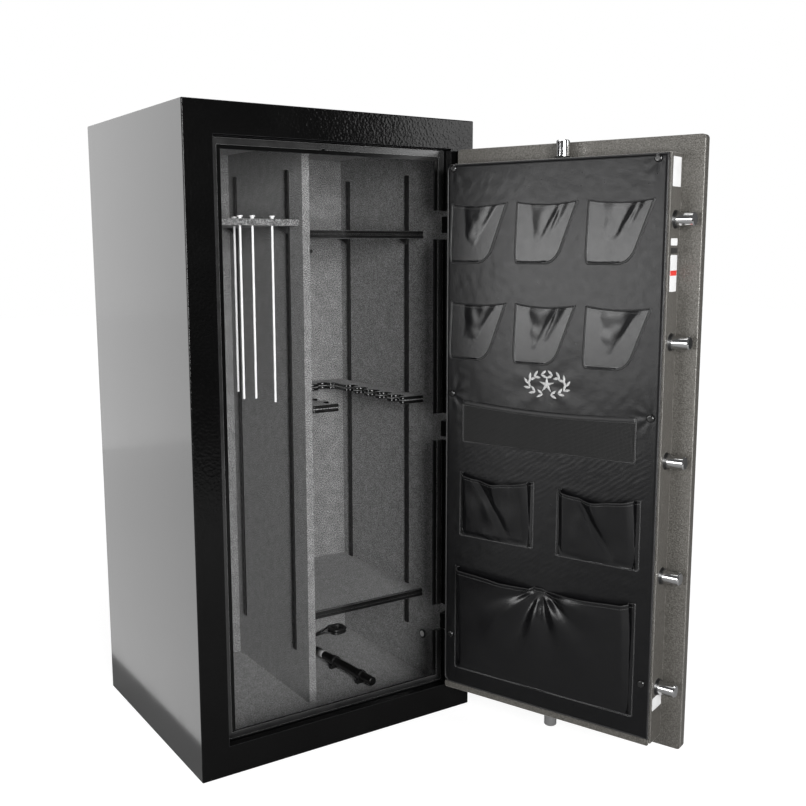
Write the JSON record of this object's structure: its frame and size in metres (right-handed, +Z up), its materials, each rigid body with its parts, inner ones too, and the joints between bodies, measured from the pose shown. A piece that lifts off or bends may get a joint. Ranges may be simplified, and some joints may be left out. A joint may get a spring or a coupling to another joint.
{
  "type": "gun safe",
  "caption": "Tall steel gun safe on concealed hinges: carpeted interior with divider, shelves and barrel rests, fabric pocket organiser on the door, geared sliding bolts.",
  "frame": {"origin": "middle of the safe's underside, on the floor", "axes": "+Z up, -Y out of the doorway, +X towards the hinge side"},
  "size_m": [0.938, 1.2433, 1.524],
  "materials": {
    "body_paint": "gloss black paint",
    "hammertone": "grey-bronze hammered paint",
    "seal": "smooth black strip",
    "fireboard": "plain board",
    "carpet": "short grey pile",
    "carpeted_board": "board wrapped in short grey pile",
    "black_plastic": "satin black",
    "trim": "gloss black",
    "white_plastic": "white",
    "steel": "plain steel",
    "chrome": "polished",
    "dial_black": "black with white marks",
    "nylon": "woven dark grey",
    "pocket_nylon": "satin black woven",
    "mesh": "black open mesh",
    "heater": "black tube",
    "cord": "black flex",
    "brass": "plain"
  },
  "bodies": {
    "safe_body": {"body_shell": "body_paint", "front_frame": "body_paint", "door_seal": "seal", "fireboards": "fireboard", "carpet_walls": "carpet", "carpet_floor": "carpet", "carpet_ceiling": "carpet", "divider": "carpeted_board", "shelf_standards": "black_plastic", "left_shelf": "carpeted_board", "shelf_clips": "black_plastic", "rifle_rods": "white_plastic", "right_shelves": "carpeted_board", "shelf_trims": "trim", "barrel_rest_right": "carpeted_board", "barrel_rest_divider": "carpeted_board", "cable_port_surround": "black_plastic", "cable_port_cap": "white_plastic", "hinge_ears": "body_paint", "hinge_pins": "steel", "heater_rod": "heater", "heater_feet": "black_plastic", "heater_gland": "black_plastic", "cord_lead": "cord", "cord_coil": "cord", "cord_plug_lead": "cord", "plug_body": "black_plastic", "plug_blades": "brass"},
    "door": {"hinge_arms": "body_paint", "door_pan": "body_paint", "door_fireboard": "fireboard", "door_inner_skin": "hammertone", "door_box": "hammertone", "bolt_collars": "black_plastic", "bolt_guides": "steel", "handle_rose": "chrome", "dial_ring": "chrome", "lock_case": "steel", "lock_bolt": "steel", "hard_plate": "steel", "box_cover": "hammertone", "organiser_panel": "nylon", "upper_pockets": "pocket_nylon", "badge": "nylon", "mesh_pocket": "mesh", "lower_pockets": "pocket_nylon", "bottom_pocket": "pocket_nylon", "organiser_snaps": "black_plastic"},
    "handle": {"handle_shaft": "steel", "handle_gears": "steel", "handle_hub": "chrome", "handle_spokes": "chrome"},
    "dial": {"dial_knob": "dial_black", "dial_spindle": "steel"},
    "side_bolt_bar": {"side_bolts": "chrome", "side_bolt_carriage": "steel"},
    "top_bolt_bar": {"top_bolt": "chrome", "top_bolt_rod": "steel"},
    "bottom_bolt_bar": {"bottom_bolt": "chrome", "bottom_bolt_rod": "steel"}
  },
  "joints": [
    {"name": "door_swing", "type": "hinge", "parent": "safe_body", "child": "door", "pos_m": [0.33, -0.308, 0.76], "axis": [0, 0, 1], "range_deg": [-110, 2]},
    {"name": "handle_turn", "type": "hinge", "parent": "door", "child": "handle", "pos_m": [0.44859, -0.6075, 0.7], "axis": [0.9397, 0.342, 0], "range_deg": [-90, 0]},
    {"name": "side_bolt_slide", "type": "slide", "parent": "door", "child": "side_bolt_bar", "axis": [0.342, -0.9397, 0], "range_m": [-0.0268, 0]},
    {"name": "top_bolt_slide", "type": "slide", "parent": "door", "child": "top_bolt_bar", "axis": [0, 0, 1], "range_m": [-0.0441, 0]},
    {"name": "bottom_bolt_slide", "type": "slide", "parent": "door", "child": "bottom_bolt_bar", "axis": [0, 0, -1], "range_m": [-0.0441, 0]},
    {"name": "dial_spin", "type": "hinge", "parent": "door", "child": "dial", "pos_m": [0.44859, -0.6075, 0.93], "axis": [0.9397, 0.342, 0], "continuous": true}
  ],
  "couplings": [
    {"joint": "side_bolt_slide", "follows": "handle_turn", "m_per_rad": 0.017},
    {"joint": "top_bolt_slide", "follows": "handle_turn", "m_per_rad": 0.028},
    {"joint": "bottom_bolt_slide", "follows": "handle_turn", "m_per_rad": 0.028}
  ]
}
